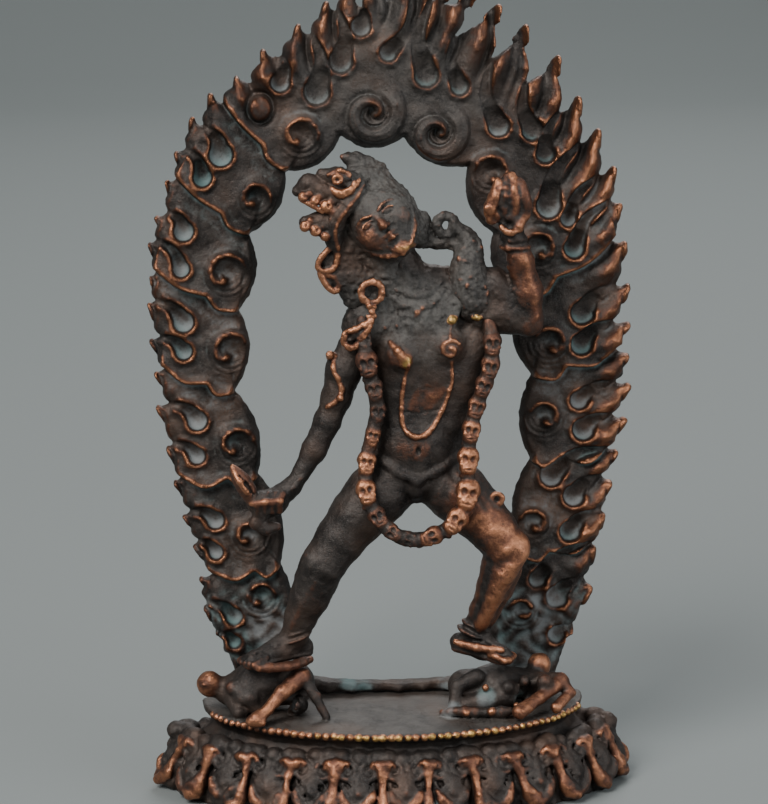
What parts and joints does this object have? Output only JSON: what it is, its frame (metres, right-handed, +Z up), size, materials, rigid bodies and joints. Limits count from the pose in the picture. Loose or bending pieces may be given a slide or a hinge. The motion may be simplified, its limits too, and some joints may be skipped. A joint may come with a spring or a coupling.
{
  "type": "vajrayogini statue",
  "caption": "Small cast copper statue of a dancing deity with skull cup and flaying knife, on a lotus base before a ring of flames.",
  "frame": {"origin": "middle of the box's underside, on the surface that the statue stands on", "axes": "+Z up, -Y the front that the figure faces, +X the viewer's right"},
  "size_m": [0.067, 0.0264, 0.1129],
  "materials": {
    "base_copper": "dark patinated copper, rubbed bright on the petals' ridges and the bead rim, some verdigris",
    "figure_copper": "dark patinated copper, rubbed bright on the garland, crown, raised arm and bent leg",
    "aureole_copper": "dark patinated copper with copper-coloured flame edges and blue-green verdigris in the hollows"
  },
  "bodies": {
    "root": {"lotus_base": "base_copper", "vajrayogini_figure": "figure_copper", "flame_aureole": "aureole_copper"}
  },
  "joints": []
}
